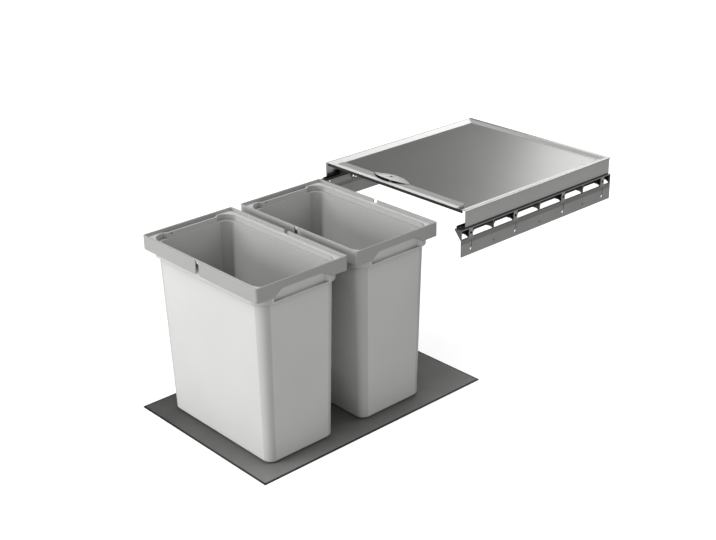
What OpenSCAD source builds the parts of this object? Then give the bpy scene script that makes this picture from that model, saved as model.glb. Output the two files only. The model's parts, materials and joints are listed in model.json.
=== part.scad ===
// Pull-out waste bin set for a kitchen cabinet. Two bins with swing-up bails stand on a mat.
// A sheet lid slides over them on two windowed wall brackets.
// Millimetres. X runs across the cabinet, Y runs back and Z runs up.
// The origin is the middle of the mat's front edge, on the mat's underside.

/* [Mat] */
// Width of the anti-slip mat
mat_w = 388; // [357:1:398]
// Depth of the anti-slip mat
mat_d = 562; // [530:1:580]
// Thickness of the mat
mat_t = 2; // [1.5:0.5:3]

/* [Bins] */
// Width of a bin over its bails
bin_w = 343.5; // [331:0.5:356]
// Depth of a bin over its bails
bin_d = 209; // [203:1:215]
// Height of a bin's rim over the mat
bin_h = 370.5; // [342:0.5:375]
// Gap between the two bins
bin_gap = 21.5; // [8:0.5:30]
// Mat left free in front of the first bin
front_margin = 19.5; // [10:0.5:30]
// Wall of a tub
wall = 2.5; // [2:0.1:3]
// Floor of a tub
floor_t = 3; // [2.5:0.1:4]
// How far the foot is narrower than the neck, across
foot_in_w = 31.9; // [24:0.1:40]
// How far the foot is narrower than the neck, front to back
foot_in_d = 30.2; // [24:0.1:40]

/* [Bails] */
// Height of a bail's skirt
bail_h = 28.7; // [26:0.1:31]
// Thickness of a bail's skirt
bail_t = 3; // [2.5:0.1:3.5]
// Slot between the two bails of a bin
bail_slot = 9.3; // [7:0.5:12]
// Distance of a bail's hinge from the bin's middle
hinge_x = 18.6; // [17:0.5:24]
// Radius of a trunnion pin
pin_r = 4; // [3:0.1:4.2]

/* [Lid] */
// Gap between a side of the cabinet and the lid's flange
lid_side_gap = 4.1; // [3.9:0.1:4.5]
// Depth of the lid
lid_d = 446.2; // [440:0.1:452]
// Front edge of the lid behind the brackets' front ends
lid_in = 14.7; // [12:0.1:18]
// Height of the lid's top face
lid_top = 390.3; // [388:0.1:392]
// Sheet the lid is folded from
sheet = 1; // [0.8:0.1:1.2]
// Gap between the brackets' tops and the lid's flanges
flange_gap = 1.7; // [1.2:0.1:2.5]
// How far the panel lies under the top face
panel_drop = 4.8; // [3:0.1:5.2]
// Length of the grip rail
rail_len = 352; // [310:1:356]
// Middle of the finger hood, off the lid's middle
hood_x = -30; // [-60:1:60]

/* [Brackets] */
// Inside width of the cabinet that the brackets are screwed to
cabinet_in = 412; // [412:1:414]
// Front end of a bracket from the front of the mat
bracket_y0 = 488.8; // [486:0.1:492]
// Length of a bracket
bracket_len = 459.6; // [453:0.1:466]
// Sheet a bracket is folded from
bracket_t = 1.5; // [1.2:0.1:1.6]
// Lower edge of a bracket
bracket_z0 = 299.5; // [293:0.5:304]
// Top face of a bracket
bracket_top = 354.5; // [352:0.1:356]
// Radius of the screw holes
screw_r = 2.6; // [2:0.1:2.8]

/* [Hidden] */
$fn = 64;
hull_fn = 32;
cut = 1;
skin = 0.1;
run_gap = 0.3;
right_angle = 90;
fit_gap = 0.05;
light_grey = [0.86, 0.86, 0.85];
mid_grey = [0.62, 0.62, 0.61];
dark_grey = [0.43, 0.43, 0.42];
black = [0.06, 0.06, 0.06];
satin = [0.72, 0.72, 0.71];
zinc = [0.56, 0.56, 0.55];
steel = [0.66, 0.67, 0.68];

// Heights in a bin
tub_z0 = mat_t + run_gap;
rim_z = mat_t + bin_h;
ledge_drop = 6.2;
ledge_t = 2;
ledge_z = rim_z - ledge_drop;
neck_drop = 41.4;
neck_z0 = rim_z - neck_drop;
shoulder_h = 6.2;
shoulder_z = neck_z0 - shoulder_h;
step_drop = 17.6;
step_z = rim_z - step_drop;
collar_t = 2.2;

// Outlines of a tub
neck_in_x = 8.6;
neck_in_y = 20.6;
neck_w = bin_w - neck_in_x;
neck_d = bin_d - neck_in_y;
neck_r = 29;
shoulder_in_w = 13.9;
shoulder_in_d = 14.5;
shoulder_w = neck_w - shoulder_in_w;
shoulder_d = neck_d - shoulder_in_d;
shoulder_r = 21.7;
foot_w = neck_w - foot_in_w;
foot_d = neck_d - foot_in_d;
foot_r = 17.6;
foot_edge_h = 4;
foot_edge_in = 3;
ledge_gap = 0.5;
ledge_w = bin_w - 2 * bail_t - 2 * ledge_gap;
ledge_d = bin_d - 2 * bail_t - 2 * ledge_gap;
ledge_r = 4;

// Finger recess in each short side of a tub
recess_deep = 6;
recess_half_out = 64;
recess_half_in = 56;
recess_floor = 2;
recess_x = neck_w / 2 - recess_deep;
recess_z = neck_z0 + recess_floor;
vent_r = 2.5;
vent_y = 48;
vent_drop = 9.5;
vent_z = rim_z - vent_drop;

// Hinges of the bails
hinge_drop = 15.5;
hinge_z = rim_z - hinge_drop;
bail_r = 5;
bail_z0 = rim_z - bail_h;
boss_r = 6.2;
boss_len = 4.2;
boss_face = bin_d / 2 - bail_t - boss_len;
hole_deep = 5.8;
hole_end = boss_face + hole_deep;
tub_boss_r = 6;
tub_boss_end = boss_face - run_gap;
pin_end = hole_end - run_gap;
bail_end_r = 3;
grip_cut_h = 12.9;
grip_cut_low = 65.2;
grip_cut_high = 47.6;
grip_cut_r = 6;
grip_cut_steps = 5;

// Places of the two bins
bin_1_y = front_margin + bin_d / 2;
bin_2_y = bin_1_y + bin_d + bin_gap;

// Lid
bend_r = 3;
land = 1.5;
lid_w = cabinet_in - 2 * lid_side_gap;
lid_y0 = bracket_y0 + lid_in;
panel_z = lid_top - panel_drop;
slope_run = 15;
ridge_x = lid_w / 2 - bend_r - land;
foot_x = ridge_x - slope_run;
lid_y1 = lid_y0 + lid_d;
rear_land = 9.3;
rear_run = 8;
rear_fold = 11.4;
pan_grow = 0.15;
sheet_back = 1;
corner_notch = 3;
flange_z0 = bracket_top + flange_gap;
flange_h = lid_top - flange_z0;
flange_in_x = lid_w / 2 - sheet;

// Edge strip along the lid's front
strip_len = 389;
strip_t = 1.2;
strip_lip = 0.7;
strip_lip_len = 3;
strip_under_top = 0.8;
strip_top = lid_top - strip_under_top;
strip_y = lid_y0 - strip_t;

// Grip rail and hood
rail_y0 = lid_y0 + run_gap;
rail_w = 28.1;
rail_y1 = lid_y0 + rail_w;
rail_r = 6;
rail_wall = 1.6;
bevel_run = 8.3;
bevel_drop = 1.7;
hood_t = 1.4;
hood_sphere = 380.3;
hood_ring = 84.4;
hood_in = 38.2;
hood_y = lid_y0 - hood_in;
hood_zc = lid_top - sqrt(hood_sphere * hood_sphere - hood_ring * hood_ring);
hood_front_r = 79.7;
hood_front_in = 89.7;
hood_front_y = lid_y0 + hood_front_in;
mouth = 2;
side_fit = 0.15;
hood_fn = 180;

// Grip screw and nut
screw_in = 26.5;
screw_y = lid_y0 + screw_in;
shank_r = 2;
head_r = 3.2;
head_h = 1.5;
head_up = 3;
head_z = lid_top + head_up;
socket_r = 1.5;
socket_deep = 0.9;
column_r = 4.5;
shank_under = 10.8;
shank_z0 = lid_top - shank_under;
nut_r = 4.04;
nut_h = 3.2;
sheet_hole_gap = 0.2;

// Brackets
plate_x = cabinet_in / 2;
flange_w = 18;
inner_x = plate_x - flange_w;
web_h = 21;
bend_z = bracket_top - web_h;
web_slope = web_h / flange_w;
web_v = bracket_t / cos(atan(web_slope));
under_z = bracket_top - bracket_t;
strut_w = 11;
strut_flare = 3;
strut_flare_h = 5;
column_shares = [0.0588, 0.3394, 0.6606, 0.9412];
middle_shares = [0.2, 0.5, 0.8];
thin_strut_w = 1.6;
eyelet_drop = 10.4;
eyelet_z = bracket_top - eyelet_drop;
low_hole_drop = 43.8;
low_hole_z = bracket_top - low_hole_drop;
eyelet_r = 6;
eyelet_in = 1.2;
dimple_r = 2;
dimple_deep = 0.8;
window_side = 2;
window_foot = 1.5;
window_h = 8;
window_run = 13;
window_run_share = 0.42;
window_bow_share = 0.28;
rib_w = 5;
rib_deep = 0.6;
rib_drop = 6;
rib_h = 12;
fold_z = 327.5;
fold_w = 0.8;
fold_deep = 0.3;

// Glides
glide_in = 0.4;
glide_x0 = inner_x;
glide_x1 = flange_in_x - glide_in;
glide_w = glide_x1 - glide_x0;
glide_y0 = bracket_y0 + cut;
glide_len = bracket_len - 2 * cut;
glide_t = 1.2;
rim_w = 1.2;
rim_h = 3.3;
glide_top = bracket_top + glide_t;
c_wall_h = 9;
c_lip_len = 4.2;
c_lip_t = 1.2;
stop_t = 2;
stop_h = 2.8;

// Runners inside the lid's flanges
lift_gap = 0.4;
side_gap = 0.5;
runner_share = 0.49;
runner_y0 = bracket_y0 + runner_share * bracket_len;
runner_len = 60;
runner_z0 = glide_top + lift_gap;
runner_foot_x = glide_x0 + rim_w + side_gap;
runner_foot_end = glide_x1 - rim_w - side_gap;
runner_body_x = glide_x0 + c_lip_len + side_gap;
runner_step_z = glide_top + rim_h + lift_gap;
runner_foot_z = bracket_top + c_wall_h - c_lip_t - lift_gap;
runner_h = 15.9;
runner_top = runner_z0 + runner_h;
stud_in = 12;
stud_out = 0.7;
stud_end_x = runner_body_x - stud_out;
stud_z = (runner_step_z + runner_top) / 2;
travel_share = 0.3916;
slide_travel = travel_share * bracket_len;

// Rivets of the glides
rivet_shares = [0.28, 0.6, 0.96];
rivet_r = 2;
rivet_head_r = 4.2;
rivet_head_h = 0.7;
rivet_flush_r = 3.4;
rivet_tail_r = 3.4;
rivet_tail_h = 1;

module rounded_rect(w, d, r) {
    square([w - 2 * r, d], center = true);
    square([w, d - 2 * r], center = true);
    for (sx = [-1, 1], sy = [-1, 1])
        translate([sx * (w / 2 - r), sy * (d / 2 - r)])
            circle(r = r);
}

module slice(w, d, r, z) {
    translate([0, 0, z])
        linear_extrude(skin)
            rounded_rect(w, d, r);
}

// A bar along Y with its section drawn in X and Z
module along_y(y0, len) {
    translate([0, y0 + len, 0])
        rotate([90, 0, 0])
            linear_extrude(len)
                children();
}

// A bar along X with its section drawn in Y and Z
module along_x(x0, len) {
    translate([x0, 0, 0])
        rotate([90, 0, 90])
            linear_extrude(len)
                children();
}

module pin_y(x, y0, z, r, len) {
    translate([x, y0, z])
        rotate([-90, 0, 0])
            cylinder(r = r, h = len);
}

module pin_x(x0, y, z, r, len) {
    translate([x0, y, z])
        rotate([0, 90, 0])
            cylinder(r = r, h = len);
}

module anti_slip_mat() {
    color(dark_grey)
        translate([-mat_w / 2, 0, 0])
            cube([mat_w, mat_d, mat_t]);
}

// Outer form of a tub, filled
module tub_outside() {
    hull() {
        slice(foot_w - 2 * foot_edge_in, foot_d - 2 * foot_edge_in, foot_r - foot_edge_in, tub_z0,
            $fn = hull_fn);
        slice(foot_w, foot_d, foot_r, tub_z0 + foot_edge_h, $fn = hull_fn);
        slice(shoulder_w, shoulder_d, shoulder_r, shoulder_z - skin, $fn = hull_fn);
    }
    hull() {
        slice(shoulder_w, shoulder_d, shoulder_r, shoulder_z - skin, $fn = hull_fn);
        slice(neck_w, neck_d, neck_r, neck_z0, $fn = hull_fn);
        slice(neck_w, neck_d, neck_r, ledge_z - skin, $fn = hull_fn);
    }
    translate([0, 0, ledge_z - ledge_t])
        linear_extrude(ledge_t)
            rounded_rect(ledge_w, ledge_d, ledge_r);
}

// Room inside a tub, up to a flat step and wider above it
module tub_inside() {
    twice = 2 * wall;
    hull() {
        slice(foot_w - twice - 2 * foot_edge_in, foot_d - twice - 2 * foot_edge_in,
            foot_r - foot_edge_in, tub_z0 + floor_t, $fn = hull_fn);
        slice(foot_w - twice, foot_d - twice, foot_r, tub_z0 + floor_t + foot_edge_h,
            $fn = hull_fn);
        slice(shoulder_w - twice, shoulder_d - twice, shoulder_r, step_z, $fn = hull_fn);
    }
    translate([0, 0, step_z])
        linear_extrude(ledge_z + cut - step_z)
            rounded_rect(neck_w - twice, neck_d - twice, neck_r - wall);
}

// Gap between the body's wall and the collar round it, open below
module collar_gap() {
    difference() {
        translate([0, 0, shoulder_z - cut])
            linear_extrude(step_z - wall - shoulder_z + cut)
                difference() {
                    rounded_rect(neck_w - 2 * collar_t, neck_d - 2 * collar_t,
                        neck_r - collar_t);
                    rounded_rect(shoulder_w, shoulder_d, shoulder_r);
                }
        recess(wall, neck_z0);
        mirror([1, 0, 0])
            recess(wall, neck_z0);
    }
}

// Plan of a finger recess on the right, grown by the wall or not
module recess_plan(grow) {
    polygon([[recess_x - grow, -recess_half_in - grow],
        [neck_w / 2, -recess_half_out - grow],
        [neck_w / 2 + wall, -recess_half_out - grow],
        [neck_w / 2 + wall, recess_half_out + grow],
        [neck_w / 2, recess_half_out + grow],
        [recess_x - grow, recess_half_in + grow]]);
}

module recess(grow, z) {
    translate([0, 0, z])
        linear_extrude(ledge_z + 2 * cut - z)
            recess_plan(grow);
}

module tub() {
    color(light_grey)
        difference() {
            union() {
                difference() {
                    tub_outside();
                    collar_gap();
                    difference() {
                        tub_inside();
                        recess(wall, neck_z0);
                        mirror([1, 0, 0])
                            recess(wall, neck_z0);
                    }
                }
                for (sx = [-1, 1], side = [0, 1])
                    mirror([0, side, 0]) {
                        pin_y(sx * hinge_x, neck_d / 2 - cut, hinge_z, tub_boss_r,
                            tub_boss_end - neck_d / 2 + cut);
                        pin_y(sx * hinge_x, tub_boss_end - cut, hinge_z, pin_r,
                            pin_end - tub_boss_end + cut);
                    }
            }
            for (turn = [0, 180])
                rotate([0, 0, turn]) {
                    recess(0, recess_z);
                    pin_x(recess_x - wall - cut, vent_y, vent_z, vent_r, wall + 2 * cut);
                }
        }
}

function arc(cx, cy, r, from, to) = [for (i = [0 : grip_cut_steps])
    let (a = from + (to - from) * i / grip_cut_steps)
        [cx + r * cos(a), cy + r * sin(a)]];

// Section of the finger cut-out in a bail's lower edge, in Y and Z
module grip_cut() {
    lean = atan(grip_cut_h / (grip_cut_low - grip_cut_high));
    cy = grip_cut_high - grip_cut_r * tan(lean / 2);
    cz = bail_z0 + grip_cut_h - grip_cut_r;
    polygon(concat([[-grip_cut_low, bail_z0 - cut], [grip_cut_low, bail_z0 - cut],
            [grip_cut_low, bail_z0]],
        arc(cy, cz, grip_cut_r, right_angle - lean, right_angle),
        arc(-cy, cz, grip_cut_r, right_angle, right_angle + lean),
        [[-grip_cut_low, bail_z0]]));
}

// The right bail of a bin; the left one is its mirror
module bail() {
    profile_w = bin_w;
    color(mid_grey)
        difference() {
            intersection() {
                union() {
                    translate([0, 0, bail_z0])
                        linear_extrude(bail_h)
                            difference() {
                                rounded_rect(bin_w, bin_d, bail_r);
                                rounded_rect(bin_w - 2 * bail_t, bin_d - 2 * bail_t,
                                    bail_r - bail_t);
                            }
                    for (side = [0, 1])
                        mirror([0, side, 0])
                            pin_y(hinge_x, boss_face, hinge_z, boss_r, boss_len + cut);
                }
                along_y(-bin_d, 2 * bin_d)
                    translate([bail_slot / 2 + profile_w / 2, bail_z0 + bail_h / 2])
                        rounded_rect(profile_w, bail_h, bail_end_r);
            }
            for (side = [0, 1])
                mirror([0, side, 0])
                    pin_y(hinge_x, boss_face - cut, hinge_z, pin_r + fit_gap, hole_deep + cut);
            along_x(bin_w / 2 - bail_t - cut, bail_t + 2 * cut)
                grip_cut();
        }
}

module left_bail() {
    mirror([1, 0, 0])
        bail();
}

module front_bin_tub() {
    translate([0, bin_1_y, 0])
        tub();
}

module front_bin_left_bail() {
    translate([0, bin_1_y, 0])
        left_bail();
}

module front_bin_right_bail() {
    translate([0, bin_1_y, 0])
        bail();
}

module rear_bin_tub() {
    translate([0, bin_2_y, 0])
        tub();
}

module rear_bin_left_bail() {
    translate([0, bin_2_y, 0])
        left_bail();
}

module rear_bin_right_bail() {
    translate([0, bin_2_y, 0])
        bail();
}

// Section of the lid's upturned box with rounded top edges, in X and Z
module lid_section(w, top, r) {
    h = top - flange_z0;
    translate([-w / 2, flange_z0 - cut])
        square([w, h - r + cut]);
    translate([-w / 2 + r, flange_z0 - cut])
        square([w - 2 * r, h + cut]);
    for (sx = [-1, 1])
        translate([sx * (w / 2 - r), top - r])
            circle(r = r);
}

// The sunk panel with its slopes, filled
module pan(y0, drop, grow) {
    hull() {
        translate([-foot_x - grow, y0, panel_z - drop])
            cube([2 * foot_x + 2 * grow, lid_y1 - rear_land - rear_run + grow - y0, skin]);
        translate([-ridge_x - grow, y0, lid_top - drop])
            cube([2 * ridge_x + 2 * grow, lid_y1 - rear_land + grow - y0, skin]);
    }
}

module lid_tray() {
    color(satin)
        difference() {
            union() {
                difference() {
                    along_y(lid_y0, lid_d)
                        lid_section(lid_w, lid_top, bend_r);
                    along_y(lid_y0 - cut, lid_d + cut - sheet)
                        translate([0, 0])
                            lid_section(lid_w - 2 * sheet, lid_top - sheet, bend_r - sheet);
                    translate([-lid_w, lid_y0 - cut, flange_z0 - 2 * cut])
                        cube([2 * lid_w, lid_d + 2 * cut, 2 * cut]);
                    translate([-flange_in_x, lid_y1 - 2 * sheet, flange_z0 - cut])
                        cube([2 * flange_in_x, 3 * sheet, flange_h + cut - rear_fold]);
                    for (side = [0, 1])
                        mirror([side, 0, 0])
                            translate([flange_in_x - corner_notch, lid_y1 - corner_notch,
                                flange_z0 - cut])
                                cube([corner_notch + 2 * cut, corner_notch + cut,
                                    flange_h - bend_r]);
                }
                pan(lid_y0 + sheet_back, sheet, pan_grow);
            }
            pan(lid_y0 - cut, 0, 0);
            translate([hood_x, screw_y, panel_z - 2 * sheet])
                cylinder(r = shank_r + sheet_hole_gap, h = 3 * sheet);
        }
}

module lid_edge_strip() {
    under = panel_z - sheet - strip_lip;
    lips = foot_x - run_gap;
    color(black) {
        along_x(-strip_len / 2, strip_len)
            translate([strip_y, under])
                square([strip_t, strip_top - under]);
        along_x(-lips, 2 * lips) {
            translate([strip_y, under])
                square([strip_t + sheet_back, sheet + 2 * strip_lip]);
            translate([strip_y, under])
                square([strip_t + sheet_back + strip_lip_len, strip_lip]);
            translate([strip_y, panel_z])
                square([strip_t + sheet_back + strip_lip_len, strip_lip]);
        }
    }
}

// The lens that both arcs of the hood share, in plan
module hood_plan(front_r, ring_r) {
    intersection() {
        translate([hood_x, hood_front_y])
            circle(r = front_r, $fn = hood_fn);
        translate([hood_x, hood_y])
            circle(r = ring_r, $fn = hood_fn);
    }
}

module hood(front_r, ring_r, ball_r, z0) {
    intersection() {
        translate([0, 0, z0])
            linear_extrude(lid_top + 2 * ledge_drop - z0)
                hood_plan(front_r, ring_r);
        translate([hood_x, hood_y, hood_zc])
            sphere(r = ball_r, $fn = hood_fn);
    }
}

module lid_grip() {
    rail_d = rail_y1 - rail_y0;
    rail_mid = (rail_y0 + rail_y1) / 2;
    color(light_grey)
        difference() {
            translate([0, rail_mid, panel_z])
                linear_extrude(lid_top - panel_z)
                    rounded_rect(rail_len, rail_d, rail_r);
            translate([0, 0, panel_z - cut])
                linear_extrude(panel_drop + 2 * cut)
                    hood_plan(hood_front_r + mouth, hood_ring + side_fit);
            translate([-rail_len, rail_y0, lid_top - bevel_drop])
                rotate([atan(bevel_drop / bevel_run), 0, 0])
                    translate([0, -bevel_run, 0])
                        cube([2 * rail_len, 3 * bevel_run, bevel_run]);
            translate([-rail_len, rail_y0 - cut, panel_z - cut])
                cube([2 * rail_len, sheet_back + strip_lip_len + cut, cut + cut]);
        }
}

module lid_hood() {
    color(light_grey)
        difference() {
            union() {
                difference() {
                    hood(hood_front_r, hood_ring, hood_sphere, panel_z);
                    hood(hood_front_r + mouth, hood_ring - rail_wall, hood_sphere - hood_t,
                        panel_z - cut);
                }
                intersection() {
                    hood(hood_front_r, hood_ring, hood_sphere, panel_z);
                    translate([hood_x, screw_y, panel_z])
                        cylinder(r = column_r, h = 2 * ledge_drop);
                }
            }
            translate([hood_x, screw_y, panel_z - cut])
                cylinder(r = shank_r + fit_gap, h = 2 * ledge_drop);
            translate([hood_x, screw_y, head_z])
                cylinder(r = head_r + sheet_hole_gap, h = ledge_drop);
        }
}

module grip_screw() {
    color(steel)
        difference() {
            translate([hood_x, screw_y, 0])
                union() {
                    translate([0, 0, shank_z0])
                        cylinder(r = shank_r, h = head_z - shank_z0 + skin);
                    translate([0, 0, head_z])
                        cylinder(r = head_r, h = head_h);
                }
            translate([hood_x, screw_y, head_z + head_h - socket_deep])
                cylinder(r = socket_r, h = head_h, $fn = 6);
        }
}

module grip_nut() {
    color(steel)
        translate([hood_x, screw_y, panel_z - sheet - nut_h])
            difference() {
                cylinder(r = nut_r, h = nut_h, $fn = 6);
                translate([0, 0, -cut])
                    cylinder(r = shank_r + fit_gap, h = nut_h + 2 * cut);
            }
}

stud_ys = [runner_y0 + stud_in, runner_y0 + runner_len - stud_in];

// The right runner; the left one is its mirror
module runner() {
    color(black)
        difference() {
            along_y(runner_y0, runner_len)
                polygon([[runner_foot_x, runner_z0], [runner_foot_end, runner_z0],
                    [runner_foot_end, runner_step_z], [flange_in_x, runner_step_z],
                    [flange_in_x, runner_top], [runner_body_x, runner_top],
                    [runner_body_x, runner_foot_z], [runner_foot_x, runner_foot_z]]);
            for (y = stud_ys)
                pin_x(runner_body_x - cut, y, stud_z, shank_r + fit_gap,
                    flange_in_x - runner_body_x + 2 * cut);
        }
}

module right_lid_runner() {
    runner();
}

module left_lid_runner() {
    mirror([1, 0, 0])
        runner();
}

module runner_studs() {
    color(steel)
        for (side = [0, 1], y = stud_ys)
            mirror([side, 0, 0])
                pin_x(stud_end_x, y, stud_z, shank_r, flange_in_x - stud_end_x);
}

columns = [for (s = column_shares) bracket_y0 + s * bracket_len];
middles = [for (s = middle_shares) bracket_y0 + s * bracket_len];
window_edges = [bracket_y0 + window_side,
    columns[0] - strut_w / 2, columns[0] + strut_w / 2,
    middles[0] - thin_strut_w / 2, middles[0] + thin_strut_w / 2,
    columns[1] - strut_w / 2, columns[1] + strut_w / 2,
    middles[1] - thin_strut_w / 2, middles[1] + thin_strut_w / 2,
    columns[2] - strut_w / 2, columns[2] + strut_w / 2,
    middles[2] - thin_strut_w / 2, middles[2] + thin_strut_w / 2,
    columns[3] - strut_w / 2, columns[3] + strut_w / 2,
    bracket_y0 + bracket_len - window_side];
rivet_x = (glide_x0 + glide_x1) / 2;
rivet_ys = concat([glide_y0 + glide_w / 2], [for (s = rivet_shares) bracket_y0 + s * bracket_len]);

// Window in the web with cut upper corners, in Y and Z
module window(y0, y1) {
    run = min(window_run, window_run_share * (y1 - y0));
    bow = window_bow_share * run;
    z0 = bend_z + window_foot;
    z1 = z0 + window_h;
    polygon([[y0, z0], [y1, z0], [y1 - bow, z1 - window_h / 2], [y1 - run, z1],
        [y0 + run, z1], [y0 + bow, z1 - window_h / 2]]);
}

// Strut in the plate's plane with a flared foot, in Y and Z
module strut(y, w, flare) {
    half = w / 2;
    polygon([[y - half - flare, bend_z - cut], [y + half + flare, bend_z - cut],
        [y + half + flare, bend_z], [y + half, bend_z + strut_flare_h],
        [y + half, under_z + cut], [y - half, under_z + cut],
        [y - half, bend_z + strut_flare_h], [y - half - flare, bend_z]]);
}

// A bracket, whose front bay can be a plain upright wall up to the flange
module bracket(plain_front) {
    rib_z0 = low_hole_z + rib_drop;
    bay_y1 = middles[0];
    color(zinc)
        difference() {
            union() {
                difference() {
                    along_y(bracket_y0, bracket_len) {
                        translate([plate_x - bracket_t, bracket_z0])
                            square([bracket_t, bend_z - bracket_z0]);
                        translate([inner_x, under_z])
                            square([flange_w, bracket_t]);
                        polygon([[plate_x, bend_z], [inner_x, bracket_top],
                            [inner_x, bracket_top - web_v], [plate_x, bend_z - web_v]]);
                    }
                    for (i = [0 : 2 : len(window_edges) - 1])
                        along_x(inner_x - cut, flange_w + 2 * cut)
                            window(window_edges[i], window_edges[i + 1]);
                    if (plain_front)
                        translate([inner_x - cut, bracket_y0 - cut, bend_z - 2 * web_v])
                            cube([flange_w - bracket_t + cut, bay_y1 - bracket_y0 + cut,
                                under_z - bend_z + 2 * web_v]);
                }
                if (plain_front)
                    translate([plate_x - bracket_t, bracket_y0, bend_z - 2 * web_v])
                        cube([bracket_t, bay_y1 - bracket_y0, under_z - bend_z + 2 * web_v]);
                for (y = [bracket_y0, bracket_y0 + bracket_len - bracket_t])
                    along_y(y, bracket_t)
                        polygon([[plate_x, bend_z], [plate_x, under_z], [inner_x, under_z]]);
                along_x(plate_x - bracket_t, bracket_t) {
                    for (y = columns)
                        strut(y, strut_w, strut_flare);
                    for (y = middles)
                        strut(y, thin_strut_w, 0);
                    strut(bracket_y0 + bracket_len - thin_strut_w / 2, thin_strut_w, 0);
                }
                for (y = columns) {
                    pin_x(plate_x - bracket_t - eyelet_in, y, eyelet_z, eyelet_r,
                        eyelet_in + bracket_t);
                    translate([plate_x - bracket_t - rib_deep, y - rib_w / 2, rib_z0])
                        cube([bracket_t, rib_w, rib_h]);
                }
            }
            for (y = columns) {
                pin_x(plate_x - bracket_t - 2 * eyelet_in, y, eyelet_z, screw_r,
                    bracket_t + 3 * eyelet_in);
                pin_x(plate_x - 2 * eyelet_r, y, low_hole_z, screw_r, 3 * eyelet_r);
                translate([plate_x - rib_deep, y - rib_w / 2, rib_z0])
                    cube([bracket_t, rib_w, rib_h]);
            }
            for (y = middles)
                pin_x(plate_x - dimple_deep, y, low_hole_z, dimple_r, dimple_deep + cut);
            if (plain_front)
                translate([plate_x - bracket_t - cut, bracket_y0 - cut, fold_z])
                    cube([fold_deep + cut, bay_y1 - bracket_y0 + cut, fold_w]);
            for (y = rivet_ys)
                translate([rivet_x, y, under_z - cut])
                    cylinder(r = rivet_r + fit_gap, h = bracket_t + 2 * cut);
        }
}

module right_bracket() {
    bracket(false);
}

module left_bracket() {
    mirror([1, 0, 0])
        bracket(true);
}

// Plan of a glide with its round front end
module glide_plan(inset) {
    r = glide_w / 2;
    translate([rivet_x, glide_y0 + r])
        circle(r = r - inset);
    translate([glide_x0 + inset, glide_y0 + r])
        square([glide_w - 2 * inset, glide_len - r - inset]);
}

// The right glide; the left one is its mirror
module glide() {
    c_y0 = runner_y0 - slide_travel - run_gap - stop_t;
    c_y1 = runner_y0 + runner_len + run_gap + stop_t;
    color(black)
        difference() {
            union() {
                translate([0, 0, bracket_top])
                    linear_extrude(glide_t)
                        glide_plan(0);
                translate([0, 0, bracket_top])
                    linear_extrude(glide_t + rim_h)
                        difference() {
                            glide_plan(0);
                            glide_plan(rim_w);
                        }
                translate([glide_x0, c_y0, bracket_top])
                    cube([rim_w, c_y1 - c_y0, c_wall_h]);
                translate([glide_x0, c_y0, bracket_top + c_wall_h - c_lip_t])
                    cube([c_lip_len, c_y1 - c_y0, c_lip_t]);
                for (y = [c_y0, c_y1 - stop_t])
                    translate([glide_x0, y, bracket_top])
                        cube([glide_w, stop_t, glide_t + stop_h]);
            }
            for (y = rivet_ys)
                translate([rivet_x, y, bracket_top - cut])
                    cylinder(r = rivet_r + fit_gap, h = glide_t + 2 * cut);
            for (i = [1 : len(rivet_ys) - 1])
                translate([rivet_x, rivet_ys[i], glide_top - rivet_head_h])
                    cylinder(r = rivet_flush_r + fit_gap, h = rivet_head_h + cut);
        }
}

module right_glide() {
    glide();
}

module left_glide() {
    mirror([1, 0, 0])
        glide();
}

// One rivet: its tail under the bracket, its shank, and a head whose top is at head_top
module rivet(y, r, head_top) {
    translate([rivet_x, y, under_z - rivet_tail_h])
        cylinder(r = rivet_tail_r, h = rivet_tail_h);
    translate([rivet_x, y, under_z - skin])
        cylinder(r = rivet_r, h = head_top - rivet_head_h - under_z + 2 * skin);
    translate([rivet_x, y, head_top - rivet_head_h])
        cylinder(r = r, h = rivet_head_h);
}

module rivets() {
    color(steel) {
        rivet(rivet_ys[0], rivet_head_r, glide_top + rivet_head_h);
        for (i = [1 : len(rivet_ys) - 1])
            rivet(rivet_ys[i], rivet_flush_r, glide_top);
    }
}

module right_glide_rivets() {
    rivets();
}

module left_glide_rivets() {
    mirror([1, 0, 0])
        rivets();
}

anti_slip_mat();
front_bin_tub();
front_bin_left_bail();
front_bin_right_bail();
rear_bin_tub();
rear_bin_left_bail();
rear_bin_right_bail();
lid_tray();
lid_edge_strip();
lid_grip();
lid_hood();
grip_screw();
grip_nut();
left_lid_runner();
right_lid_runner();
runner_studs();
left_bracket();
right_bracket();
left_glide();
right_glide();
left_glide_rivets();
right_glide_rivets();
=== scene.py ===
"""Looks for the pull-out waste bin set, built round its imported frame.

Lengths are in metres, as in the frame. X is the width, Y runs back and Z up.
"""

import json
import math

import bmesh
import bpy
from mathutils import Matrix, Vector

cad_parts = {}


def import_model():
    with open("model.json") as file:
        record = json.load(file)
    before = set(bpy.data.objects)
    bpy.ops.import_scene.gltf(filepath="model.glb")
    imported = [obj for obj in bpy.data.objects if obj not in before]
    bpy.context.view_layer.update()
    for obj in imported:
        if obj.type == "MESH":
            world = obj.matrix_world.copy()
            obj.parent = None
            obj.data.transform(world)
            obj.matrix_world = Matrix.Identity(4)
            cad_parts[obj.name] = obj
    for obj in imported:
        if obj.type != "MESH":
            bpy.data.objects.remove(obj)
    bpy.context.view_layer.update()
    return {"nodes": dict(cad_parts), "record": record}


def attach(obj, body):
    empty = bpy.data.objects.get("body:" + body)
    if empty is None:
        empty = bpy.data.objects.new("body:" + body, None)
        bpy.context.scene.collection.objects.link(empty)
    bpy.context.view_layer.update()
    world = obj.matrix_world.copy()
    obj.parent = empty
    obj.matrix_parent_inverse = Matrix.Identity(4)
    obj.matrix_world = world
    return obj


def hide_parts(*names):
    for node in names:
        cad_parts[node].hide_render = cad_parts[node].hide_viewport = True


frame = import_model()
NODES = frame["nodes"]
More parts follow.
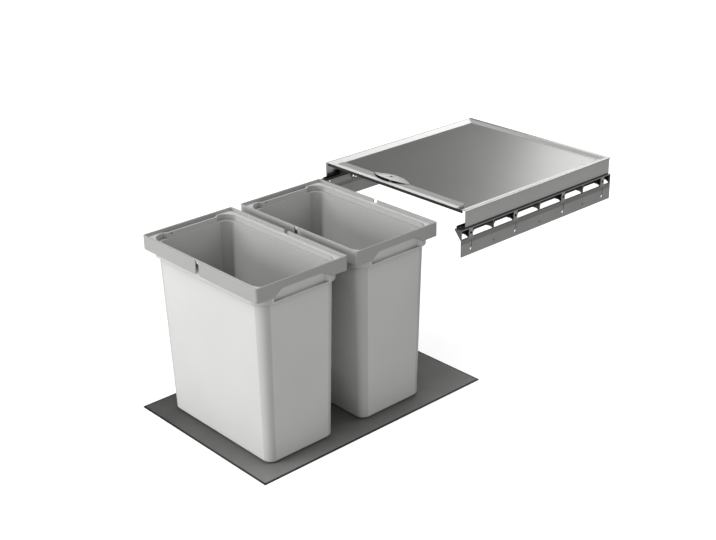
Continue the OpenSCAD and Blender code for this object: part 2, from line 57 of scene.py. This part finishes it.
BODY_OF = {n: b for b, ns in frame["record"]["behaviour"]["bodies"].items() for n in ns}
SLOT_OF = {s["node"]: s["material_slot"] for s in frame["record"]["subparts"]}

RISING = (0.0, 1.0)
FALLING = (1.0, 0.0)

# Scales of noise, where a higher one is finer
MOULD_GRAIN = 900.0
ROLLED_GRAIN = 700.0
PEBBLE = 420.0
FLOW = 6.0
DUST = 14.0
# Where a ramp between two tones starts and ends, on a noise
LOW, HIGH = 0.3, 0.7

# Reach and samples of the shade that near walls cast on a tone
TUB_DEPTH = 0.35
NEAR_WALLS = 0.1
FOLD_REACH = 0.03
MAT_REACH = 0.12
SHADE_SAMPLES = 8

# Painted highlights on the rail's front slope and on the hood, with their tones against the
# rail's top
SLOPE_END = 0.0085
SLOPE_FADE = 0.001
SLOPE_HIGHLIGHT = 1.95
HOOD_START = 0.0005
HOOD_HIGHLIGHT = 1.8

# The dark line along the mat's edges, from its outer side inwards
EDGE_LINE = 0.0032
EDGE_FADE = 0.0008
EDGE_TONE = 0.1


# Nodes


def new_material(name):
    """A material with an empty shader: the material, its tree and the shader."""
    mat = bpy.data.materials.new(name)
    mat.use_nodes = True
    tree = mat.node_tree
    tree.nodes.clear()
    out = tree.nodes.new("ShaderNodeOutputMaterial")
    shader = tree.nodes.new("ShaderNodeBsdfPrincipled")
    tree.links.new(shader.outputs["BSDF"], out.inputs["Surface"])
    return mat, tree, shader


def coordinates(tree, scale=(1, 1, 1)):
    """A piece's own coordinates, stretched where a scale is small."""
    place = tree.nodes.new("ShaderNodeTexCoord")
    mapping = tree.nodes.new("ShaderNodeMapping")
    mapping.inputs["Scale"].default_value = scale
    tree.links.new(place.outputs["Object"], mapping.inputs["Vector"])
    return mapping.outputs["Vector"]


def parts_of(tree, vector):
    """The X, Y and Z outputs of a vector."""
    parts = tree.nodes.new("ShaderNodeSeparateXYZ")
    tree.links.new(vector, parts.inputs["Vector"])
    return parts.outputs


def normals(tree):
    """The X, Y and Z outputs of the surface normal."""
    return parts_of(tree, tree.nodes.new("ShaderNodeNewGeometry").outputs["Normal"])


def noise(tree, vector, scale, detail=3.0, roughness=0.5):
    """A noise value over a vector."""
    node = tree.nodes.new("ShaderNodeTexNoise")
    node.inputs["Scale"].default_value = scale
    node.inputs["Detail"].default_value = detail
    node.inputs["Roughness"].default_value = roughness
    tree.links.new(vector, node.inputs["Vector"])
    return node.outputs["Fac"]


def ramp(tree, value, stops):
    """Colours over a value, from the lowest stop to the highest."""
    node = tree.nodes.new("ShaderNodeValToRGB")
    first, last = node.color_ramp.elements
    first.position, first.color = stops[0][0], (*stops[0][1], 1)
    last.position, last.color = stops[-1][0], (*stops[-1][1], 1)
    for position, colour in stops[1:-1]:
        node.color_ramp.elements.new(position).color = (*colour, 1)
    tree.links.new(value, node.inputs["Fac"])
    return node.outputs["Color"]


def greys(*stops):
    """Stops of a ramp, from places and grey levels."""
    return [(position, (level, level, level)) for position, level in stops]


def patchy(tree, value, colour, dark, light):
    """A colour that runs from a darker to a lighter tone over a noise."""
    return ramp(tree, value, [(LOW, shade(colour, dark)), (HIGH, shade(colour, light))])


def shade(colour, factor):
    """A colour times a factor, kept in range."""
    return tuple(min(1.0, c * factor) for c in colour)


def mapped(tree, value, span, results):
    """The value carried from one span to another and held at its ends."""
    node = tree.nodes.new("ShaderNodeMapRange")
    node.inputs["From Min"].default_value, node.inputs["From Max"].default_value = span
    node.inputs["To Min"].default_value, node.inputs["To Max"].default_value = results
    tree.links.new(value, node.inputs["Value"])
    return node.outputs["Result"]


def result(tree, operation, *values):
    """The result of a sum on numbers or on other nodes' results."""
    node = tree.nodes.new("ShaderNodeMath")
    node.operation = operation
    for index, value in enumerate(values):
        if isinstance(value, (int, float)):
            node.inputs[index].default_value = value
        else:
            tree.links.new(value, node.inputs[index])
    return node.outputs["Value"]


def blended(tree, first, blend_type="MIX"):
    """A colour mix that starts from the first colour."""
    mix = tree.nodes.new("ShaderNodeMix")
    mix.data_type = "RGBA"
    mix.blend_type = blend_type
    mix.inputs["Factor"].default_value = 1.0
    tree.links.new(first, mix.inputs["A"])
    return mix


def scaled(tree, tone, value, span, factors):
    """The tone times a factor that runs from one value to another."""
    mix = tree.nodes.new("ShaderNodeVectorMath")
    mix.operation = "SCALE"
    tree.links.new(tone, mix.inputs[0])
    tree.links.new(mapped(tree, value, span, factors), mix.inputs["Scale"])
    return mix.outputs["Vector"]


def openness(tree, reach, alone):
    """How open a place is: one in the open, less where walls stand within reach."""
    node = tree.nodes.new("ShaderNodeAmbientOcclusion")
    node.inputs["Distance"].default_value = reach
    node.samples = SHADE_SAMPLES
    node.only_local = alone
    return node.outputs["AO"]


def keep_shade(tree, tone, reach, stops, alone=True, share=None):
    """The tone, darker where walls stand close, as in a deep hollow or under a fold."""
    mix = blended(tree, tone, "MULTIPLY")
    if share:
        tree.links.new(share, mix.inputs["Factor"])
    tree.links.new(ramp(tree, openness(tree, reach, alone), greys(*stops)), mix.inputs["B"])
    return mix.outputs["Result"]


def bump(tree, shader, height, strength, distance):
    """A fine relief on the shader."""
    node = tree.nodes.new("ShaderNodeBump")
    node.inputs["Strength"].default_value = strength
    node.inputs["Distance"].default_value = distance
    tree.links.new(height, node.inputs["Height"])
    tree.links.new(node.outputs["Normal"], shader.inputs["Normal"])


def uneven_gloss(tree, shader, value, low, high):
    """A roughness that runs from low to high over a noise."""
    tree.links.new(mapped(tree, value, RISING, (low, high)), shader.inputs["Roughness"])


# Materials


def hollow_painted_shade_and_light(tree, tone):
    """A tub's tone with painted shade and light: its inner sides and corners are painted dark,
    its inner front and back painted even, brighter towards the depth.
    """
    normal = normals(tree)
    ahead = result(tree, "ABSOLUTE", normal["Y"])
    turned = result(tree, "ABSOLUTE", result(tree, "MULTIPLY", normal["X"], normal["Y"]))
    opened = openness(tree, TUB_DEPTH, True)
    inside = mapped(tree, opened, (0.7, 0.85), FALLING)
    even = result(tree, "MULTIPLY", inside, mapped(tree, ahead, (0.93, 0.97), RISING))
    corner = mapped(tree, turned, (0.08, 0.14), RISING)
    deep = result(tree, "MULTIPLY", even, mapped(tree, opened, (0.1, 0.5), FALLING))
    share = mapped(tree, even, RISING, (1.0, 0.12))
    # Painted shade where walls stand near, kept weak on the inner front and back
    tone = keep_shade(tree, tone, TUB_DEPTH, [(0.1, 0.5), (0.68, 1)], True, share)
    tone = keep_shade(tree, tone, NEAR_WALLS, [(0.15, 0.35), (0.5, 1)], False, share)
    # Painted shade over the inside and its corners, and painted light that brightens the deep
    # inner front and back
    for mask, factor in ((inside, 0.84), (even, 0.84), (deep, 1.5), (corner, 0.84)):
        tone = scaled(tree, tone, mask, RISING, (1.0, factor))
    return tone


def plastic(name, colour, rough, hollow=False, lighter=()):
    """Moulded plastic: a fine eroded grain, faint flow tone and uneven gloss.

    Each entry of lighter is a painted highlight: an axis, a span along it and the tone's
    factors at its ends. A hollow piece gets painted shade and light inside.
    """
    mat, tree, shader = new_material(name)
    where = coordinates(tree)
    tone = patchy(tree, noise(tree, where, FLOW, 2.0), colour, 0.97, 1.02)
    if hollow:
        tone = hollow_painted_shade_and_light(tree, tone)
    # Painted highlights, brightening the tone along an axis
    for axis, span, factors in lighter:
        tone = scaled(tree, tone, parts_of(tree, where)[axis], span, factors)
    tree.links.new(tone, shader.inputs["Base Color"])
    fine = noise(tree, where, MOULD_GRAIN, 2.0, 0.6)
    uneven_gloss(tree, shader, fine, rough - 0.06, rough + 0.06)
    shader.inputs["Specular IOR Level"].default_value = 0.4
    bump(tree, shader, fine, 0.25, 0.00012)
    return mat


def sheet(name, colour, brush, patches, dark, light, grain=ROLLED_GRAIN):
    """The start of a metal look: rolled lines along one axis and a faintly patchy tone."""
    mat, tree, shader = new_material(name)
    lines = noise(tree, coordinates(tree, brush), grain, 3.0, 0.55)
    cloud = noise(tree, coordinates(tree), patches)
    return mat, tree, shader, lines, patchy(tree, cloud, colour, dark, light)


def turned_steel(name, colour, rough):
    """Bright steel of screws and rivets, with a grain that has no direction."""
    mat, tree, shader, lines, tone = sheet(
        name, colour, (1, 1, 1), 9.0, 0.96, 1.03, MOULD_GRAIN
    )
    tree.links.new(tone, shader.inputs["Base Color"])
    uneven_gloss(tree, shader, lines, rough - 0.05, rough + 0.07)
    shader.inputs["Metallic"].default_value = 1.0
    bump(tree, shader, lines, 0.15, 0.00006)
    return mat


def zinc_sheet(name, colour, rough, brush):
    """Zinc-plated sheet with a band of painted shade along its fold, and painted shade on its
    undersides.
    """
    mat, tree, shader, lines, tone = sheet(name, colour, brush, 26.0, 0.95, 1.04)
    # Painted shade: a darker band on the plate by the fold
    rise = mapped(tree, parts_of(tree, coordinates(tree))["Z"], (0.30, 0.36), RISING)
    fold_band_shade = blended(tree, tone, "MULTIPLY")
    band = greys((0.40, 1), (0.43, 0.66), (0.555, 0.72), (0.57, 1))
    tree.links.new(ramp(tree, rise, band), fold_band_shade.inputs["B"])
    # Painted shade under the flange, where walls stand close
    tone = keep_shade(tree, fold_band_shade.outputs["Result"], FOLD_REACH, [(0.35, 0.05), (0.75, 1)])
    tree.links.new(tone, shader.inputs["Base Color"])
    uneven_gloss(tree, shader, lines, rough - 0.05, rough + 0.07)
    shader.inputs["Metallic"].default_value = 0.85
    bump(tree, shader, lines, 0.12, 0.00005)
    return mat


def lid_sheet(name, colour, bright, rough, brush):
    """Satin lid sheet with a painted highlight on its sloping sides, which are brighter and
    less metallic than the flat panel.
    """
    mat, tree, shader, lines, tone = sheet(name, colour, brush, 9.0, 0.98, 1.02)
    normal = normals(tree)
    level = result(tree, "MULTIPLY", normal["Z"], normal["Z"])
    leaning = mapped(tree, result(tree, "SUBTRACT", 1.0, level), (0.03, 0.07), RISING)
    upward = mapped(tree, normal["Z"], (0.35, 0.5), RISING)
    not_rear = mapped(tree, normal["Y"], (-0.45, -0.3), (0.6, 1.0))
    sloping = result(tree, "MULTIPLY", result(tree, "MULTIPLY", leaning, upward), not_rear)
    # The painted highlight: the slopes take the bright colour, the rear slope less
    mix = blended(tree, tone)
    mix.inputs["B"].default_value = (*bright, 1)
    tree.links.new(sloping, mix.inputs["Factor"])
    tree.links.new(mix.outputs["Result"], shader.inputs["Base Color"])
    tree.links.new(mapped(tree, sloping, RISING, (1.0, 0.25)), shader.inputs["Metallic"])
    uneven_gloss(tree, shader, lines, rough - 0.02, rough + 0.02)
    bump(tree, shader, lines, 0.02, 0.00002)
    return mat


def rubber(name, colour, edges):
    """Anti-slip rubber: a close pebble relief, a right end made lighter by painted light,
    painted shade near the bins and a dark line along its edges.
    """
    mat, tree, shader = new_material(name)
    where = coordinates(tree)
    cells = tree.nodes.new("ShaderNodeTexVoronoi")
    cells.inputs["Scale"].default_value = PEBBLE
    tree.links.new(where, cells.inputs["Vector"])
    tone = patchy(tree, noise(tree, where, DUST, 4.0), colour, 0.93, 1.06)
    across = parts_of(tree, where)
    # Painted light: the tone runs from dark at the left end to light at the right end
    tone = scaled(tree, tone, across["X"], (-0.19, 0.19), (0.42, 1.34))
    # Painted shade where the bins stand near the mat
    tone = keep_shade(tree, tone, MAT_REACH, [(0.45, 0.5), (0.9, 1)], False)
    low, high = edges
    for axis in (0, 1):
        off = result(tree, "SUBTRACT", across[axis], (low[axis] + high[axis]) / 2)
        line = (high[axis] - low[axis]) / 2 - EDGE_LINE
        tone = scaled(tree, tone, result(tree, "ABSOLUTE", off), (line - EDGE_FADE, line),
                      (1.0, EDGE_TONE))
    tree.links.new(tone, shader.inputs["Base Color"])
    shader.inputs["Roughness"].default_value = 0.55
    bump(tree, shader, cells.outputs["Distance"], 0.35, 0.0004)
    return mat


def limits(node):
    """The lowest and the highest corner of a node."""
    corners = [NODES[node].matrix_world @ Vector(c) for c in NODES[node].bound_box]
    return [[pick(c[i] for c in corners) for i in range(3)] for pick in (min, max)]


(_, RAIL_FRONT, _), (_, _, RAIL_TOP) = limits("lid_grip")
HOOD_TOP = limits("lid_hood")[1][2]

MATERIALS = {
    "mat_rubber": rubber("mat_rubber_look", (0.165, 0.165, 0.16), limits("anti_slip_mat")),
    # The tubs' insides carry painted shade and painted light
    "tub_plastic": plastic("tub_plastic_look", (0.62, 0.62, 0.608), 0.42, hollow=True),
    "bail_plastic": plastic("bail_plastic_look", (0.365, 0.365, 0.357), 0.36),
    "lid_metal": lid_sheet("lid_metal_look", (0.43, 0.43, 0.42), (0.82, 0.82, 0.81), 0.31,
                           (1, 0.05, 1)),
    "grip_plastic": plastic(
        "grip_plastic_look", (0.345, 0.345, 0.339), 0.36,
        # Painted highlights on the rail's front slope and on the hood
        lighter=[
            ("Y", (RAIL_FRONT + SLOPE_END, RAIL_FRONT + SLOPE_END + SLOPE_FADE),
             (SLOPE_HIGHLIGHT, 1.0)),
            ("Z", (RAIL_TOP + HOOD_START, HOOD_TOP), (1.0, HOOD_HIGHLIGHT)),
        ],
    ),
    "black_trim": plastic("black_trim_look", (0.012, 0.012, 0.012), 0.45),
    "small_steel": turned_steel("small_steel_look", (0.45, 0.45, 0.46), 0.30),
    "glide_plastic": plastic("glide_plastic_look", (0.014, 0.014, 0.015), 0.36),
    "bracket_metal": zinc_sheet("bracket_metal_look", (0.345, 0.345, 0.34), 0.42, (1, 0.1, 1)),
}


# Pieces that stand for the CAD nodes, with their edges broken

# Points closer than this are one, and faces flatter than this many degrees are one
SAME_POINT = 0.000002
SAME_PLANE = 0.5
# An edge that turns by more degrees than this is sharp
SHARP = 32.0
SHARP_OF = {"lid_tray": 16.0}
EDGE_WIDTHS = {
    "anti_slip_mat": 0.0005,
    "front_bin_tub": 0.0007,
    "rear_bin_tub": 0.0007,
    "front_bin_left_bail": 0.0009,
    "front_bin_right_bail": 0.0009,
    "rear_bin_left_bail": 0.0009,
    "rear_bin_right_bail": 0.0009,
    "lid_tray": 0.0003,
    "lid_edge_strip": 0.00025,
    "lid_grip": 0.0012,
    "lid_hood": 0.0003,
    "left_lid_runner": 0.0005,
    "right_lid_runner": 0.0005,
    "left_glide": 0.0003,
    "right_glide": 0.0003,
}


def dressed(node, width, sharp):
    """A copy of a node's solid whose sharp edges are rounded, which stands for the node."""
    mesh = NODES[node].data.copy()
    mesh.name = node + "_skin"
    work = bmesh.new()
    work.from_mesh(mesh)
    bmesh.ops.remove_doubles(work, verts=work.verts, dist=SAME_POINT)
    bmesh.ops.dissolve_limit(
        work, angle_limit=math.radians(SAME_PLANE), verts=work.verts, edges=work.edges
    )
    limit = math.radians(sharp)
    for edge in work.edges:
        edge.smooth = len(edge.link_faces) == 2 and edge.calc_face_angle(0.0) < limit
    for face in work.faces:
        face.smooth = True
    work.to_mesh(mesh)
    work.free()
    piece = bpy.data.objects.new(node + "_skin", mesh)
    bpy.context.scene.collection.objects.link(piece)
    bevel = piece.modifiers.new("edges", "BEVEL")
    bevel.width = width
    bevel.segments = 2
    bevel.limit_method = "ANGLE"
    bevel.angle_limit = limit
    bevel.harden_normals = True
    bevel.use_clamp_overlap = True
    bevel.miter_outer = "MITER_ARC"
    mesh.materials.clear()
    mesh.materials.append(MATERIALS[SLOT_OF[node]])
    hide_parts(node)
    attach(piece, BODY_OF[node])


for node, thing in NODES.items():
    if node in EDGE_WIDTHS:
        dressed(node, EDGE_WIDTHS[node], SHARP_OF.get(node, SHARP))
    else:
        for slot in thing.material_slots:
            slot.material = MATERIALS[SLOT_OF[node]]


# Floor, light and camera

FLOOR_HALF = 6.0
FLOOR_TONE = 0.4
# The floor's own light: seen by the camera near the part and far off, and in mirrors
FLOOR_SPAN = (1.1, 2.6)
FLOOR_GLOW = (0.8, 1.0)
FLOOR_MIRRORED = 0.23
SKY = 0.26

# Place, aim, width, height, watts and whether it shows in glossy surfaces
LAMPS = {
    "key": ((-1.2, -2.9, 1.1), (0.0, 0.3, 0.2), 1.5, 1.2, 81.0, True),
    "fill": ((2.6, -0.6, 1.3), (0.0, 0.4, 0.2), 1.4, 1.2, 18.5, True),
    "top": ((-0.4, -1.5, 2.7), (0.0, 0.4, 0.1), 1.6, 1.6, 36.0, False),
    "high_card": ((0.5, 2.9, 3.1), (0.0, 0.75, 0.38), 2.6, 1.6, 55.0, False),
    "back_card": ((-0.95, 3.65, 1.9), (0.0, 0.7, 0.39), 2.3, 2.4, 26.5, True),
    "low_card": ((-2.05, 3.03, 0.3), (0.2, 0.8, 0.38), 1.0, 0.6, 5.6, True),
}

# The camera as fitted to the photograph's corners
CAMERA_PLACE = (1.7519, -1.1722, 1.2779)
CAMERA_RIGHT = (0.674798, 0.737831, -0.015928)
CAMERA_UP = (-0.288833, 0.283896, 0.914319)
CAMERA_BACK = (0.679134, -0.61238, 0.404682)
SENSOR = 36.0
LENS = 64.467


def floor():
    """A floor that shows white to the camera and takes faint shade."""
    mesh = bpy.data.meshes.new("floor")
    corners = [(x * FLOOR_HALF, y * FLOOR_HALF, 0)
               for x, y in ((-1, -1), (1, -1), (1, 1), (-1, 1))]
    mesh.from_pydata(corners, [], [(0, 1, 2, 3)])
    thing = bpy.data.objects.new("floor", mesh)
    bpy.context.scene.collection.objects.link(thing)
    mat, tree, shader = new_material("floor_look")
    shader.inputs["Base Color"].default_value = (FLOOR_TONE, FLOOR_TONE, FLOOR_TONE, 1)
    shader.inputs["Roughness"].default_value = 1.0
    shader.inputs["Specular IOR Level"].default_value = 0.0
    path = tree.nodes.new("ShaderNodeLightPath").outputs
    seen = result(tree, "MAXIMUM", path["Is Camera Ray"], path["Is Transmission Ray"])
    mirrored = result(tree, "MULTIPLY", path["Is Glossy Ray"], FLOOR_MIRRORED)
    away = tree.nodes.new("ShaderNodeVectorMath")
    away.operation = "LENGTH"
    tree.links.new(coordinates(tree), away.inputs[0])
    level = mapped(tree, away.outputs["Value"], FLOOR_SPAN, FLOOR_GLOW)
    glow = tree.nodes.new("ShaderNodeEmission")
    strength = result(tree, "MULTIPLY_ADD", seen, level, mirrored)
    tree.links.new(strength, glow.inputs["Strength"])
    both = tree.nodes.new("ShaderNodeAddShader")
    tree.links.new(shader.outputs["BSDF"], both.inputs[0])
    tree.links.new(glow.outputs["Emission"], both.inputs[1])
    out = next(n for n in tree.nodes if n.type == "OUTPUT_MATERIAL")
    tree.links.new(both.outputs["Shader"], out.inputs["Surface"])
    mesh.materials.append(mat)


def world():
    """A soft even sky that the camera sees as white."""
    scene_world = bpy.data.worlds.new("studio")
    bpy.context.scene.world = scene_world
    scene_world.use_nodes = True
    tree = scene_world.node_tree
    tree.nodes.clear()
    out = tree.nodes.new("ShaderNodeOutputWorld")
    path = tree.nodes.new("ShaderNodeLightPath")
    mix = tree.nodes.new("ShaderNodeMixShader")
    tree.links.new(path.outputs["Is Camera Ray"], mix.inputs["Fac"])
    for index, strength in ((1, SKY), (2, 1.0)):
        background = tree.nodes.new("ShaderNodeBackground")
        background.inputs["Color"].default_value = (1, 1, 1, 1)
        background.inputs["Strength"].default_value = strength
        tree.links.new(background.outputs["Background"], mix.inputs[index])
    tree.links.new(mix.outputs["Shader"], out.inputs["Surface"])


def area_light(name, place, aim, width, height, power, mirrored):
    """A rectangular lamp at a place, turned to its aim."""
    data = bpy.data.lights.new(name, "AREA")
    data.shape = "RECTANGLE"
    data.size = width
    data.size_y = height
    data.energy = power
    lamp = bpy.data.objects.new(name, data)
    bpy.context.scene.collection.objects.link(lamp)
    lamp.visible_glossy = mirrored
    lamp.location = place
    lamp.rotation_euler = (Vector(aim) - Vector(place)).to_track_quat("-Z", "Y").to_euler()


def camera():
    """The photograph's camera."""
    data = bpy.data.cameras.new("camera")
    data.sensor_width = SENSOR
    data.lens = LENS
    data.clip_end = 50.0
    thing = bpy.data.objects.new("camera", data)
    bpy.context.scene.collection.objects.link(thing)
    turn = Matrix((CAMERA_RIGHT, CAMERA_UP, CAMERA_BACK)).transposed().to_4x4()
    thing.matrix_world = Matrix.Translation(CAMERA_PLACE) @ turn
    bpy.context.scene.camera = thing


floor()
world()
for name, lamp in LAMPS.items():
    area_light(name, *lamp)
camera()
bpy.context.scene.view_settings.view_transform = "Standard"
